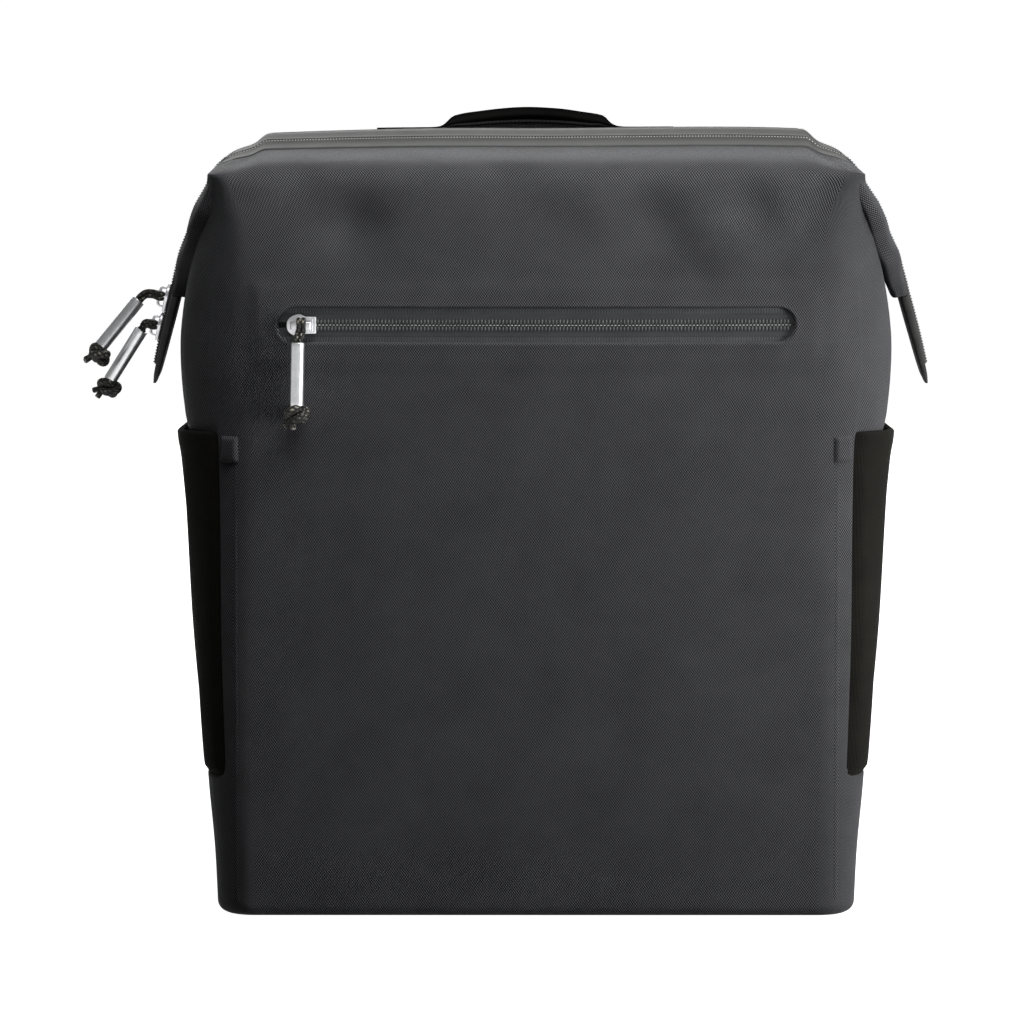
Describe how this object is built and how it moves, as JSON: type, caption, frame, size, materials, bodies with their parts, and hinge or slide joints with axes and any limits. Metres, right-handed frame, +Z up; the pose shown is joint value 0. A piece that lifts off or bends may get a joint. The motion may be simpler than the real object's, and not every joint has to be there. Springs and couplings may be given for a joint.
{
  "type": "cooler backpack",
  "caption": "Soft insulated cooler backpack with folded top ears, a top zip, a front zip pocket, stretch side pockets, a grab handle and padded shoulder straps",
  "frame": {"origin": "the middle of the flat base, which the backpack stands on", "axes": "+X across the front to the right as the picture shows it, which is the wearer's right; +Y from the front towards the back that is worn; +Z up"},
  "size_m": [0.4041, 0.2307, 0.3708],
  "materials": {
    "body_fabric": "coated charcoal twill with a fine diagonal weave, matt with a faint sheen",
    "zip_tape": "smooth coated dark grey zip tape with a fine coil",
    "slider_metal": "bright satin metal",
    "pull_metal": "brushed aluminium tube, unmarked",
    "pull_cord": "black braided cord with light flecks",
    "tab_rubber": "black coated tab, slightly worn at its edges",
    "pocket_fabric": "black stretch fabric",
    "webbing": "black ribbed webbing",
    "strap_fabric": "black padded strap with bound edges",
    "buckle_plastic": "black moulded plastic"
  },
  "bodies": {
    "root": {"body_shell": "body_fabric", "front_zip": "zip_tape", "top_zip": "zip_tape", "front_slider": "slider_metal", "upper_wing_slider": "slider_metal", "lower_wing_slider": "slider_metal", "front_pull_cord": "pull_cord", "front_pull_tube": "pull_metal", "front_pull_knot": "pull_cord", "upper_wing_pull_cord": "pull_cord", "upper_wing_pull_tube": "pull_metal", "upper_wing_pull_knot": "pull_cord", "lower_wing_pull_cord": "pull_cord", "lower_wing_pull_tube": "pull_metal", "lower_wing_pull_knot": "pull_cord", "left_zip_end_tab": "tab_rubber", "right_zip_end_tab": "tab_rubber", "left_side_pocket": "pocket_fabric", "right_side_pocket": "pocket_fabric", "left_pocket_tab": "body_fabric", "right_pocket_tab": "body_fabric", "top_handle": "webbing", "strap_yoke": "webbing", "left_shoulder_strap": "strap_fabric", "right_shoulder_strap": "strap_fabric", "left_ladder_lock": "buckle_plastic", "right_ladder_lock": "buckle_plastic", "left_strap_webbing": "webbing", "right_strap_webbing": "webbing", "left_lower_anchor": "webbing", "right_lower_anchor": "webbing"}
  },
  "joints": []
}
